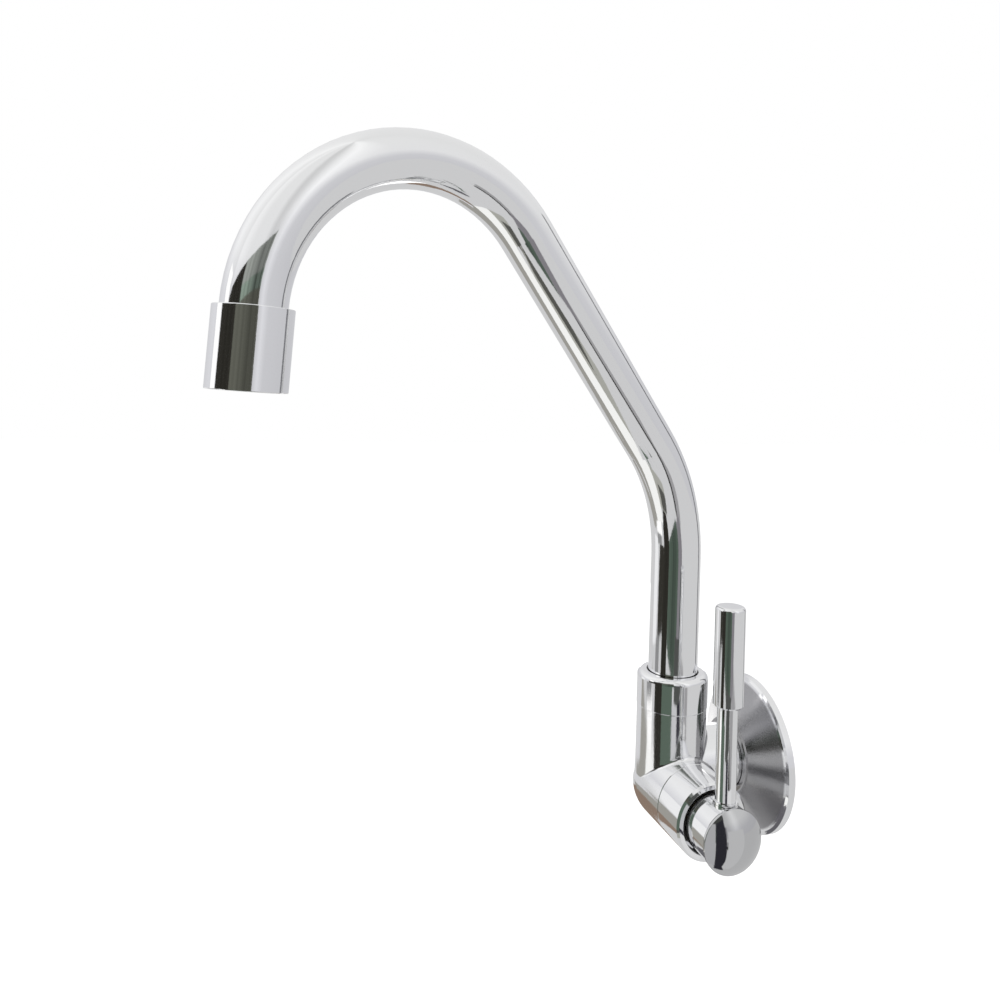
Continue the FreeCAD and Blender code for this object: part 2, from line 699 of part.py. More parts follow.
def cartridge_housing():
    """Brass housing of the quarter-turn cartridge, with a hexagon and two side windows."""
    start = f"({GASKET_TOP} + seat_gap)"
    shelf = f"({SPINDLE_HEAD_TOP} + seat_gap)"
    relief = "(barrel_length - mouth_seal_height - seat_gap)"
    shoulder = "(chamber_end + housing_shoulder_gap)"
    corners = [(start, HOUSING_BORE_RADIUS), (start, HOUSING_RADIUS),
               (shoulder, HOUSING_RADIUS), (shoulder, "housing_thread_radius"),
               (relief, "housing_thread_radius"), (HEX_START, "housing_thread_radius"),
               (HEX_START, "housing_neck_radius"), ("housing_top", "housing_neck_radius"),
               ("housing_top", SPINDLE_BORE_RADIUS), (shelf, SPINDLE_BORE_RADIUS),
               (shelf, HOUSING_BORE_RADIUS)]
    body = turned("cartridge_housing", RISER, corners, axis="H_Axis")
    corner = f"({SHROUD_BORE_RADIUS} - hex_clearance)"
    turns = [FULL_TURN / HEX_SIDES * step for step in range(HEX_SIDES)]
    corner_places = [(f"{corner} * cos({angle})", f"{corner} * sin({angle})") for angle in turns]
    hexagon = outline(body, "YZ_Plane", corner_places, lift=HEX_START)
    pad(body, hexagon, "hex_height")
    turn(body, outline(body, "XZ_Plane", [
        (f"{HEX_START} - overshoot", "0"), (f"{HEX_START} - overshoot", SPINDLE_BORE_RADIUS),
        (f"{HEX_END} + overshoot", SPINDLE_BORE_RADIUS), (f"{HEX_END} + overshoot", "0")]),
         "H_Axis", cut=True)
    window = [("window_place", "-window_width / 2"),
              ("window_place + window_length", "-window_width / 2"),
              ("window_place + window_length", "window_width / 2"),
              ("window_place", "window_width / 2")]
    across = f"2 * {HOUSING_RADIUS} + window_width"
    pocket(body, outline(body, "XY_Plane", window), across, both_ways=True)


def mouth_seal():
    """Flat ring in the mouth of the barrel under the hexagon."""
    tube_ring("mouth_seal", RISER, "housing_thread_radius + seat_gap", f"{MOUTH_RADIUS} - seat_gap",
              "barrel_length - mouth_seal_height + seat_gap", f"{HEX_START} - seat_gap", "H_Axis")


SPINDLE_GROOVE_RADIUS = "(spindle_radius - spindle_seal_cord - seat_gap)"
SPINDLE_GROOVE_HALF = "(spindle_seal_cord / 2 + groove_gap)"
SPINDLE_SEALS = ["spindle_seal_place", "(spindle_seal_place + spindle_seal_pitch)"]
CLIP_FLOOR_RADIUS = "(spindle_radius - clip_groove_depth)"
SCREW_HOLE_RADIUS = "(screw_radius + seat_gap)"


def spindle():
    """Brass spindle: disc driver inside, splines outside, tapped for the handle screw."""
    clip_middle = f"(({CLIP_START} + {CLIP_END}) / 2)"
    screw_floor = "(spindle_end - screw_length)"
    corners = [(SPINDLE_START, "0"), (SPINDLE_START, "disc_radius"),
               (SPINDLE_HEAD_TOP, "disc_radius"), (SPINDLE_HEAD_TOP, "spindle_radius")]
    corners += grooved("spindle_radius", SPINDLE_GROOVE_RADIUS, SPINDLE_GROOVE_HALF,
                       SPINDLE_SEALS, lengthwise=True)
    corners += grooved("spindle_radius", CLIP_FLOOR_RADIUS, "(clip_height / 2 + seat_gap)",
                       [clip_middle], lengthwise=True)
    corners += [("spindle_end", "spindle_radius"), ("spindle_end", SCREW_HOLE_RADIUS),
                (screw_floor, SCREW_HOLE_RADIUS), (screw_floor, "0")]
    body = turned("spindle", RISER, corners, axis="H_Axis")
    notch = circle(body, "YZ_Plane", "spline_radius", "spindle_radius", lift="spindle_end")
    pattern(body, pocket(body, notch, "spline_length"), "X_Axis", "spline_count")


VALVE = f"{RISER} * placement(vector(0; 0; 0); rotation(vector(0; 1; 0); 90))"


def spindle_seals():
    """Two rubber rings on the spindle."""
    seal_rings("spindle_o_rings", VALVE, "(spindle_radius - spindle_seal_cord)",
               f"({SPINDLE_BORE_RADIUS} - turning_gap / 2)", SPINDLE_SEALS)


def spindle_clip():
    """Spring ring that keeps the spindle in the housing."""
    tube_ring("spindle_clip", RISER, f"{CLIP_FLOOR_RADIUS} + seat_gap", "clip_radius",
              CLIP_START, CLIP_END, "H_Axis")


def valve_shroud():
    """Polished sleeve over the cartridge: a web on the housing's neck, a lip round the hub."""
    end = f"({HEX_START} + shroud_length)"
    mouth = f"({HUB_RADIUS} + shroud_mouth_gap)"
    web = f"({HEX_END} + seat_gap)"
    corners = [(HEX_START, SHROUD_BORE_RADIUS), (HEX_START, "barrel_radius"),
               (end, "barrel_radius"), (end, mouth), (f"{end} - shroud_lip", mouth),
               (f"{end} - shroud_lip", SHROUD_BORE_RADIUS),
               (f"{web} + shroud_web", SHROUD_BORE_RADIUS),
               (f"{web} + shroud_web", "housing_neck_radius + seat_gap"),
               (web, "housing_neck_radius + seat_gap"), (web, SHROUD_BORE_RADIUS)]
    body = turned("valve_shroud", RISER, corners, axis="H_Axis")
    soften(body, "Chamfer", "shroud_edge", [("barrel_radius", end)], across=True)
    soften(body, "Chamfer", "seam_edge", [("barrel_radius", HEX_START)], across=True)


SOCKET_BOTTOM = "(spindle_end + free_gap)"
HUB_FACE = "(hub_end - hub_recess_depth)"
HEAD_SEAT = f"({HUB_FACE} - screw_head_height - seat_gap)"


def handle_hub():
    """Turned hub on the spindle that carries the lever."""
    head = "(screw_head_radius + screw_head_gap)"
    corners = [("hub_start", "spindle_radius + seat_gap"), ("hub_start", HUB_RADIUS),
               ("hub_end", HUB_RADIUS), ("hub_end", "hub_recess_radius"),
               (HUB_FACE, "hub_recess_radius"), (HUB_FACE, head), (HEAD_SEAT, head),
               (HEAD_SEAT, SCREW_HOLE_RADIUS), (SOCKET_BOTTOM, SCREW_HOLE_RADIUS),
               (SOCKET_BOTTOM, "spindle_radius + seat_gap")]
    body = turned("handle_hub", RISER, corners, axis="H_Axis")
    soften(body, "Chamfer", "hub_edge", [(HUB_RADIUS, "hub_start"), (HUB_RADIUS, "hub_end")],
           across=True)
    boss = circle(body, "XY_Plane", "lever_boss_radius", "lever_place",
                  lift=f"{HUB_RADIUS} - lever_boss_root")
    pad(body, boss, "lever_boss_rise + lever_boss_root")
    stud = circle(body, "XY_Plane", "stud_radius + seat_gap", "lever_place",
                  lift=LEVER_BOSS_TOP)
    pocket(body, stud, f"{LEVER_BOSS_TOP} - stud_bottom")


def handle_screw():
    """Socket-head screw that holds the hub on the spindle."""
    start = "(spindle_end - screw_length + screw_tip_gap)"
    head = f"({HEAD_SEAT} + seat_gap)"
    top = f"({head} + screw_head_height - seat_gap)"
    key = f"({top} - screw_head_height / 2)"
    corners = [(start, "0"), (start, "screw_radius"), (head, "screw_radius"),
               (head, "screw_head_radius"), (top, "screw_head_radius"),
               (top, "screw_key_radius"), (key, "screw_key_radius"), (key, "0")]
    turned("handle_screw", RISER, corners, axis="H_Axis")


def handle_cap():
    """Domed cap pressed into the end of the hub."""
    start = "(hub_end + cap_gap)"
    rim = f"({start} + cap_rim)"
    top = f"({rim} + cap_dome)"
    inner = "(hub_recess_radius - seat_gap - cap_spigot_wall)"
    corners = [(f"{HUB_FACE} + seat_gap", inner),
               (f"{HUB_FACE} + seat_gap", "hub_recess_radius - seat_gap"),
               (start, "hub_recess_radius - seat_gap"), (start, CAP_RADIUS),
               (rim, CAP_RADIUS), (top, "0"), (start, "0"), (start, inner)]
    dome = f"-(cap_dome ^ 2 + {CAP_RADIUS} ^ 2) / (2 * cap_dome)"
    body = turned("handle_cap", RISER, corners, {4: dome}, axis="H_Axis")
    soften(body, "Fillet", "cap_edge", [(CAP_RADIUS, start), (CAP_RADIUS, rim)], across=True)


RING_BOTTOM = f"({LEVER_BOSS_TOP} + seat_gap)"
RING_TOP = f"({RING_BOTTOM} + lever_ring_height)"


def lever_ring():
    """Thin ring between the hub and the lever's stem."""
    tube_ring("lever_ring", LEVER, "stud_radius + seat_gap", "lever_ring_radius",
              RING_BOTTOM, RING_TOP)


def lever_stem():
    """Round stem with a stud at each end, for the hub and for the grip."""
    bottom = f"({RING_TOP} + seat_gap)"
    corners = [("0", "stud_bottom + seat_gap"), ("stud_radius", "stud_bottom + seat_gap"),
               ("stud_radius", bottom), ("stem_radius", bottom), ("stem_radius", "grip_start"),
               ("stud_radius", "grip_start"), ("stud_radius", "grip_start + stud_top_length"),
               ("0", "grip_start + stud_top_length")]
    turned("lever_stem", LEVER, corners)


def lever_grip():
    """Thicker round grip screwed on the top of the stem."""
    bottom = "(grip_start + seat_gap)"
    top = f"({bottom} + grip_length)"
    bore = "(stud_radius + seat_gap)"
    roof = "(grip_start + stud_top_length + seat_gap)"
    corners = [(bore, bottom), ("grip_radius", bottom), ("grip_radius", top), ("0", top),
               ("0", roof), (bore, roof)]
    body = turned("lever_grip", LEVER, corners)
    soften(body, "Fillet", "grip_edge", [("grip_radius", top)])
    soften(body, "Chamfer", "grip_edge / 2", [("grip_radius", bottom)])


FLANGE_BORE_RADIUS = "(boss_radius + free_gap)"
FLANGE_GROOVE_RADIUS = "(boss_radius + turning_gap + flange_seal_cord + seat_gap)"
FLANGE_GROOVE_HALF = "(flange_seal_cord / 2 + groove_gap)"


def wall_flange():
    """Dished flange that slides on the inlet boss and covers the hole in the wall."""
    lip = "(flange_radius - flange_lip)"
    corners = [("flange_radius - flange_skin", "0"), ("flange_radius", "0"),
               ("flange_radius", "flange_rim"), (lip, "flange_rim + flange_bevel"),
               ("flange_neck_radius", "flange_dish_rise"),
               ("flange_neck_radius", "flange_height - flange_edge"),
               ("flange_neck_radius - flange_edge", "flange_height"),
               (FLANGE_BORE_RADIUS, "flange_height"),
               (FLANGE_BORE_RADIUS, f"flange_seal_place + {FLANGE_GROOVE_HALF}"),
               (FLANGE_GROOVE_RADIUS, f"flange_seal_place + {FLANGE_GROOVE_HALF}"),
               (FLANGE_GROOVE_RADIUS, f"flange_seal_place - {FLANGE_GROOVE_HALF}"),
               (FLANGE_BORE_RADIUS, f"flange_seal_place - {FLANGE_GROOVE_HALF}"),
               (FLANGE_BORE_RADIUS, "flange_back_rise"),
               ("flange_back_radius", "flange_back_rise"),
               ("flange_radius - flange_skin", "flange_skin")]
    turned("wall_flange", OUT_OF_WALL, corners, {3: "-flange_dish_bow"})


def flange_seal():
    """Rubber ring that grips the inlet boss and holds the flange where it is pushed."""
    seal_rings("flange_o_ring", OUT_OF_WALL, "(boss_radius + turning_gap)",
               "(boss_radius + turning_gap + flange_seal_cord)", ["flange_seal_place"])


def build():
    """Make every piece, from the wall outwards."""
    for make in (tap_body, inlet_nipple, collar_nut, bearing_bush, seat_seal, fixed_disc,
                 cartridge_housing, mouth_seal, valve_shroud, spout_tube, spout_ferrule,
                 spout_seals, outlet_ferrule, aerator_housing, aerator_gasket,
                 aerator_diffuser, aerator_cage, aerator_screen, moving_disc, spindle,
                 spindle_seals, spindle_clip, handle_hub, handle_screw, handle_cap,
                 lever_ring, lever_stem, lever_grip, wall_flange, flange_seal):
        make()
    doc.recompute()


def export():
    """Write each piece to its own file, once every object has proved sound."""
    for item in doc.Objects:
        if "Invalid" in item.State or "Error" in item.State:
            raise ValueError(f"{item.Label} failed: {item.State}")
    for piece in pieces:
        if piece.Shape.isNull() or not piece.Shape.isValid():
            raise ValueError(f"{piece.Label} has no sound shape")
    os.makedirs("parts", exist_ok=True)
    for piece in pieces:
        piece.Shape.exportStep(f"parts/{piece.Label}.step")


build()
export()
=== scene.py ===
import json
import math

import bmesh
import bpy
from mathutils import Matrix, Vector


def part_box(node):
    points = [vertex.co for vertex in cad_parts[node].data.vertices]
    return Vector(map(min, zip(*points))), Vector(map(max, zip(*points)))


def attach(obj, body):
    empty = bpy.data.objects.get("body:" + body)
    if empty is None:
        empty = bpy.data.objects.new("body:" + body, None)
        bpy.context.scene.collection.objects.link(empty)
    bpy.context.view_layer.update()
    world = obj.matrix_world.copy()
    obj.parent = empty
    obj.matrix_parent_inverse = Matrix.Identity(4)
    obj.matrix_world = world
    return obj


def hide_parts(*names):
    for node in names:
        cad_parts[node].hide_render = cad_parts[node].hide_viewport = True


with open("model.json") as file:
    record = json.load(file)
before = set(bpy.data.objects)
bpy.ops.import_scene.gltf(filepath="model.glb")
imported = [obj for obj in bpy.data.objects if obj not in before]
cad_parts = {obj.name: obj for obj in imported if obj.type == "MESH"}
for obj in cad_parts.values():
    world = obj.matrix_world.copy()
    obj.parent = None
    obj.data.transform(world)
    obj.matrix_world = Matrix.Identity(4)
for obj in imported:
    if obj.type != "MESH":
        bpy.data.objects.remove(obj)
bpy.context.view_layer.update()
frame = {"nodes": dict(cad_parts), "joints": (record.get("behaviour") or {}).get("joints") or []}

# A chromed wall tap, seen from its lever side and a little below the top of its arch.
# Metres, in the tap's own frame: the inlet axis goes into the wall along +Y,
# +Z is up and the lever is on the +X side. Azimuths are in degrees, 0 looking
# out from the wall and 90 along +X.

MM = 0.001
NODES = frame["nodes"]
JOINTS = {joint["name"]: joint for joint in frame["joints"]}
VALVE = Vector(JOINTS["lever_turn"]["pos_m"])
SPOUT_SWING = 16.7
OUTLET_LEAN = 2.7


def direction(azimuth, rise=0.0):
    """The unit vector at an azimuth and a rise above the horizon, both in degrees."""
    turn, lift = math.radians(azimuth), math.radians(rise)
    return Vector((math.sin(turn) * math.cos(lift), -math.cos(turn) * math.cos(lift),
                   math.sin(lift)))


# Camera

CAMERA_PLACE = Vector((0.32091, -0.21665, 0.15800))
CAMERA_AZIMUTH = 71.764
CAMERA_RISE = -1.624
CAMERA_ROLL = 2.060
LENS_MM = 31.381
SENSOR_MM = 36.0
SHIFT = (-0.01505, -0.15726)
NEAREST_SEEN = 0.01
FURTHEST_SEEN = 20.0


def make_camera():
    """The camera, with the photograph's place, aim and framing."""
    back = direction(CAMERA_AZIMUTH, CAMERA_RISE)
    right = (-back).cross(Vector((0, 0, 1))).normalized()
    up = right.cross(-back)
    roll = Matrix.Rotation(math.radians(CAMERA_ROLL), 3, "Z")
    turned = Matrix((right, up, back)).transposed() @ roll
    data = bpy.data.cameras.new("camera")
    data.lens = LENS_MM
    data.sensor_width = SENSOR_MM
    data.shift_x, data.shift_y = SHIFT
    data.clip_start, data.clip_end = NEAREST_SEEN, FURTHEST_SEEN
    camera = bpy.data.objects.new("camera", data)
    camera.matrix_world = Matrix.Translation(CAMERA_PLACE) @ turned.to_4x4()
    bpy.context.scene.collection.objects.link(camera)
    bpy.context.scene.camera = camera


# Materials

# Where a mix node has its two inputs and its result, for numbers and for colours
MIX_SOCKETS = {"FLOAT": (2, 3, 0), "RGBA": (6, 7, 2)}


class Nodes:
    """Short names for adding and joining the nodes of one material or world."""

    def __init__(self, tree, keep=False):
        self.tree = tree
        if not keep:
            tree.nodes.clear()

    def add(self, kind, inputs=None, **settings):
        """A node with its settings, each input a value or the output that feeds it."""
        node = self.tree.nodes.new(kind)
        for key, value in settings.items():
            setattr(node, key, value)
        for key, value in (inputs or {}).items():
            socket = node.inputs[key]
            if isinstance(value, bpy.types.NodeSocket):
                self.tree.links.new(value, socket)
            else:
                socket.default_value = value
        return node

    def ramp(self, factor, stops):
        """A colour ramp through (place, value or colour) stops."""
        node = self.add("ShaderNodeValToRGB", {"Fac": factor})
        bar = node.color_ramp
        while len(bar.elements) < len(stops):
            bar.elements.new(0.5)
        for element, (place, value) in zip(bar.elements, stops):
            element.position = place
            element.color = (*value, 1) if isinstance(value, tuple) else (value, value, value, 1)
        return node.outputs["Color"]

    def mix(self, share, first, second, kind="RGBA", blend="MIX"):
        """From the first value to the second while the share goes from 0 to 1, or a blend of both."""
        first_socket, second_socket, result_socket = MIX_SOCKETS[kind]
        node = self.add("ShaderNodeMix", {0: share, first_socket: first, second_socket: second},
                        data_type=kind, blend_type=blend)
        return node.outputs[result_socket]

    def share(self, value, low, high):
        """How far a value has come from low to high, never under 0 or over 1."""
        node = self.add("ShaderNodeMapRange", {"Value": value, "From Min": low, "From Max": high})
        return node.outputs["Result"]

    def place(self):
        """Where a point of the surface lies, in the tap's frame."""
        return self.add("ShaderNodeTexCoord").outputs["Object"]

    def noise(self, scale, detail, **others):
        inputs = {"Scale": scale, "Detail": detail, **others}
        return self.add("ShaderNodeTexNoise", inputs).outputs["Fac"]

    def marks(self, scales, detail):
        """Noise with a scale per axis, drawn out along the axes with a small one."""
        drawn_out = self.add("ShaderNodeMapping", {"Vector": self.place(), "Scale": scales})
        return self.noise(1.0, detail, Vector=drawn_out.outputs["Vector"], Roughness=0.6)

    def bump(self, height, depth, **others):
        inputs = {"Height": height, "Distance": depth, "Strength": 1.0, **others}
        return self.add("ShaderNodeBump", inputs).outputs["Normal"]

    def glow(self, colour, strength=1.0):
        inputs = {"Color": colour, "Strength": strength}
        return self.add("ShaderNodeEmission", inputs).outputs["Emission"]

    def show(self, surface):
        """Make a shader what the material shows."""
        self.add("ShaderNodeOutputMaterial", {"Surface": surface})

    def principled(self, inputs):
        self.show(self.add("ShaderNodeBsdfPrincipled", inputs).outputs["BSDF"])


def new_material(name):
    material = bpy.data.materials.new(name)
    material.use_nodes = True
    return material, Nodes(material.node_tree)


CHROME_COLOUR = (0.885, 0.888, 0.900, 1)
# The cap's chrome is darker than the rest, so everything it mirrors comes out dimmer
DARKER_CHROME_COLOUR = (0.600, 0.603, 0.612, 1)
CHROME_HAZE = 0.045
CAST_HAZE = 0.075
SCUFF = 0.03
CLOUD_SCALE = 38.0
SWELL_SCALE = 95.0
POLISH_DEPTH = 0.0012 * MM


def chrome(name, marks_scale, wave, smear, colour=CHROME_COLOUR, haze=CHROME_HAZE):
    """Polished chrome: wave is how uneven it is, and smear what clouds add to its haze."""
    material, nodes = new_material(name)
    marks = nodes.marks(marks_scale, 4.0)
    cloud = nodes.noise(CLOUD_SCALE, 3.0)
    swell = nodes.noise(SWELL_SCALE, 1.0)
    blur = nodes.ramp(cloud, [(0.35, haze), (0.75, haze + smear)])
    scuff = nodes.ramp(marks, [(0.3, 0.0), (0.8, SCUFF)])
    rough = nodes.add("ShaderNodeMath", {0: blur, 1: scuff}, operation="ADD").outputs["Value"]
    polish = nodes.bump(marks, POLISH_DEPTH, Normal=nodes.bump(swell, wave))
    nodes.principled({"Base Color": colour, "Metallic": 1.0, "Roughness": rough,
                      "Normal": polish})
    return material


def change_within(material, centre, axes, radius, blend, inside):
    """Other shader inputs near a line through the centre, along the axis whose weight is 0."""
    nodes = Nodes(material.node_tree, keep=True)
    moved = nodes.add("ShaderNodeVectorMath", {0: nodes.place(), 1: centre}, operation="SUBTRACT")
    across = nodes.add("ShaderNodeVectorMath", {0: moved.outputs["Vector"], 1: axes},
                       operation="MULTIPLY")
    reach = nodes.add("ShaderNodeVectorMath", {0: across.outputs["Vector"]}, operation="LENGTH")
    outside = nodes.share(reach.outputs["Value"], radius - blend, radius + blend)
    shader = next(node for node in nodes.tree.nodes if node.type == "BSDF_PRINCIPLED")
    for name, inner in inside.items():
        socket = shader.inputs[name]
        kind = "RGBA" if socket.type == "RGBA" else "FLOAT"
        outer = socket.links[0].from_socket if socket.is_linked else socket.default_value
        nodes.tree.links.new(nodes.mix(outside, inner, outer, kind), socket)


LATHE_DEPTH = 0.004 * MM
TARNISH_SCALE = 140.0


def metal(name, dark, light, rough, marks_scale):
    """Bare turned metal with marks from the lathe and a little tarnish."""
    material, nodes = new_material(name)
    marks = nodes.marks((marks_scale, marks_scale, marks_scale), 3.0)
    tarnish = nodes.noise(TARNISH_SCALE, 4.0)
    nodes.principled({"Base Color": nodes.ramp(tarnish, [(0.3, dark), (0.7, light)]),
                      "Metallic": 1.0,
                      "Roughness": nodes.ramp(marks, [(0.2, rough * 0.7), (0.9, rough * 1.5)]),
                      "Normal": nodes.bump(marks, LATHE_DEPTH)})
    return material


PORE_DEPTH = 0.01 * MM
SHADE_SCALE = 60.0


def moulded(name, dark, light, rough, grain_scale):
    """Rubber, plastic or ceramic with a fine grain."""
    material, nodes = new_material(name)
    pores = nodes.noise(grain_scale, 4.0)
    shade = nodes.noise(SHADE_SCALE, 2.0)
    nodes.principled({"Base Color": nodes.ramp(shade, [(0.3, dark), (0.7, light)]),
                      "Roughness": nodes.ramp(pores, [(0.2, rough * 0.8), (0.8, rough * 1.15)]),
                      "Normal": nodes.bump(pores, PORE_DEPTH)})
    return material


# How often the polishing marks change in a metre, across them and along them
ACROSS = 2600
ALONG = 60
ROUND_X = (ACROSS, ALONG, ALONG)
ROUND_Y = (ALONG, ACROSS, ALONG)
ROUND_Z = (ALONG, ALONG, ACROSS)
CAST_MARKS = (150, 150, 150)
DRAWN_MARKS = (400, 400, 60)

# How uneven a cast or pressed piece is, a bent tube and a turned piece, and their smears
CAST_WAVE = 0.010 * MM
TUBE_WAVE = 0.005 * MM
TURNED_WAVE = 0.002 * MM
CAST_SMEAR = 0.03
PRESSED_SMEAR = 0.025
SMOOTH_SMEAR = 0.02

# Painted shade: the flange's dish is darker than its rim, standing in for the dark reflections in it,
# and hazier; the mouth of the valve's sleeve is painted matte grey as the shade inside it
DISH_RADIUS = 28.8 * MM
DISH_EDGE = 0.4 * MM
DISH_PAINTED_SHADE_AND_HAZE = {"Base Color": (0.42, 0.418, 0.428, 1), "Roughness": 0.22}
# Painted shade: inside the sleeve's mouth the chrome gives way to matte grey, standing in for the
# shade in the recess
MOUTH_RADIUS = 12.2 * MM
MOUTH_EDGE = 0.2 * MM
MOUTH_PAINTED_SHADE = {"Base Color": (0.34, 0.335, 0.33, 1), "Metallic": 0.0, "Roughness": 0.6}


def dress_nodes():
    """Give every CAD node its material, and return those that the finer pieces share."""
    cast = chrome("chrome_cast", CAST_MARKS, CAST_WAVE, CAST_SMEAR, haze=CAST_HAZE)
    drawn = chrome("chrome_tube", DRAWN_MARKS, TUBE_WAVE, SMOOTH_SMEAR)
    turned_z = chrome("chrome_turned_z", ROUND_Z, TURNED_WAVE, SMOOTH_SMEAR)
    turned_x = chrome("chrome_turned_x", ROUND_X, TURNED_WAVE, SMOOTH_SMEAR)
    pressed = chrome("chrome_flange", ROUND_Y, CAST_WAVE, PRESSED_SMEAR)
    # Painted shade: the dish is darker than the rim, standing in for its dark reflections, and
    # rougher
    change_within(pressed, (0, 0, 0), (1, 0, 1), DISH_RADIUS, DISH_EDGE, DISH_PAINTED_SHADE_AND_HAZE)
    sleeve = chrome("chrome_sleeve", ROUND_X, TURNED_WAVE, SMOOTH_SMEAR)
    # Painted shade: the sleeve's mouth is matte grey, standing in for the shade inside it
    change_within(sleeve, VALVE, (0, 1, 1), MOUTH_RADIUS, MOUTH_EDGE, MOUTH_PAINTED_SHADE)
    darker_chrome = chrome("chrome_cap", ROUND_X, TURNED_WAVE, SMOOTH_SMEAR, DARKER_CHROME_COLOUR)
    brass = metal("brass_turned", (0.60, 0.42, 0.17), (0.78, 0.59, 0.28), 0.24, 900)
    steel = metal("steel_wire", (0.50, 0.50, 0.51), (0.66, 0.66, 0.67), 0.28, 1200)
    rubber = moulded("rubber_black", (0.016, 0.016, 0.017), (0.030, 0.030, 0.031), 0.62, 2200)
    plastic = moulded("plastic_white", (0.76, 0.76, 0.73), (0.84, 0.84, 0.82), 0.38, 1500)
    ceramic = moulded("ceramic_lapped", (0.84, 0.83, 0.79), (0.90, 0.89, 0.86), 0.18, 2600)
    groups = {
        cast: ["tap_body"],
        drawn: ["spout_tube"],
        turned_z: ["collar_nut", "aerator_housing", "lever_ring", "lever_stem", "lever_grip"],
        turned_x: ["handle_hub"],
        sleeve: ["valve_shroud"],
        darker_chrome: ["handle_cap"],
        pressed: ["wall_flange"],
        brass: ["inlet_nipple", "cartridge_housing", "spindle", "spout_ferrule", "outlet_ferrule"],
        steel: ["aerator_screen", "spindle_clip", "handle_screw"],
        rubber: ["seat_seal", "mouth_seal", "spout_o_rings", "spindle_o_rings", "flange_o_ring",
                 "aerator_gasket"],
        plastic: ["bearing_bush", "aerator_diffuser", "aerator_cage"],
        ceramic: ["fixed_disc", "moving_disc"],
    }
    for material, names in groups.items():
        for name in names:
            slots = NODES[name].data.materials
            slots.clear()
            slots.append(material)
    return {"brass": brass, "steel": steel}


# Pieces with finer detail than the solids

def mesh_piece(name, mesh, body, node, material, crease):
    """Give a mesh its normals, material and body, and let it stand for a CAD node."""
    work = bmesh.new()
    work.from_mesh(mesh)
    bmesh.ops.remove_doubles(work, verts=work.verts, dist=0.001 * MM)
    bmesh.ops.recalc_face_normals(work, faces=work.faces)
    work.to_mesh(mesh)
    work.free()
    for face in mesh.polygons:
        face.use_smooth = True
    mesh.set_sharp_from_angle(angle=math.radians(crease))
    mesh.materials.append(material)
    piece = bpy.data.objects.new(name, mesh)
    bpy.context.scene.collection.objects.link(piece)
    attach(piece, body)
    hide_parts(node)


# A half-inch pipe thread. Each crest and each root takes the flat share of a pitch.
THREAD_PITCH = 1.814 * MM
THREAD_DEPTH = 1.162 * MM
THREAD_FLAT = 0.14
THREAD_STEPS = 12

# The nipple round its thread, with the plain neck between the thread and the body
NIPPLE_BORE_RADIUS = 7.5 * MM
NIPPLE_CHAMFER = 1.0 * MM
NIPPLE_SIDES = 144
NECK_RADIUS = 9.6 * MM
NECK_START = -4.0 * MM
NECK_END = -0.5 * MM


def thread_dip(place, turn):
    """How far the thread lies under its crest, by the place along it and the turn round it."""
    wave = abs(2 * ((place / THREAD_PITCH - turn) % 1.0) - 1)
    flank = min(max((wave - THREAD_FLAT) / (1 - 2 * THREAD_FLAT), 0.0), 1.0)
    run_in = min(place / THREAD_PITCH, 1.0)
    return THREAD_DEPTH * flank * run_in


def threaded_nipple(material):
    """The inlet nipple with its pipe thread cut all the way into the wall's socket."""
    low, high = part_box("inlet_nipple")
    crest = (high[0] - low[0]) / 2
    length = high[1] - NECK_END
    steps = round(length / THREAD_PITCH * THREAD_STEPS)
    neck = [(NIPPLE_BORE_RADIUS, low[1]), (crest - NIPPLE_CHAMFER, low[1]),
            (crest, low[1] + NIPPLE_CHAMFER), (crest, NECK_START),
            (NECK_RADIUS, NECK_START), (NECK_RADIUS, NECK_END)]
    points = []
    for side in range(NIPPLE_SIDES):
        turn = side / NIPPLE_SIDES
        outline = list(neck)
        for step in range(steps + 1):
            place = length * step / steps
            chamfer = crest - NIPPLE_CHAMFER + length - place
            outline.append((min(crest - thread_dip(place, turn), chamfer), NECK_END + place))
        outline.append((NIPPLE_BORE_RADIUS, high[1]))
        angle = math.tau * turn
        points += [(radius * math.cos(angle), y, radius * math.sin(angle))
                   for radius, y in outline]
    rows = len(points) // NIPPLE_SIDES
    faces = []
    for side in range(NIPPLE_SIDES):
        here, beside = side * rows, (side + 1) % NIPPLE_SIDES * rows
        for row in range(rows):
            after = (row + 1) % rows
            faces.append((here + row, here + after, beside + after, beside + row))
    mesh = bpy.data.meshes.new("inlet_nipple_threaded")
    mesh.from_pydata(points, [], faces)
    mesh_piece("inlet_nipple_threaded", mesh, "tap", "inlet_nipple", material, 50)


# The screen's honeycomb, and the rim round it. A cell's corners lie further out than its sides.
CELL_PITCH = 1.45 * MM
CELL_WALL = 0.17 * MM
CELL_CORNER = CELL_PITCH / math.sqrt(3)
HOLE_CORNER = (CELL_PITCH - 2 * CELL_WALL) / math.sqrt(3)
MESH_REACH = 9.6 * MM
MESH_HALF_HEIGHT = 0.15 * MM
RIM_HALF_HEIGHT = 0.2 * MM
RIM_INNER = 8.8 * MM
RIM_OUTER = 10.85 * MM
RIM_SIDES = 96
HEX_TURNS = [math.radians(60 * corner + 30) for corner in range(6)]
HEX_BESIDE = [(0, 1), (-1, 1), (-1, 0), (0, -1), (1, -1), (1, 0)]


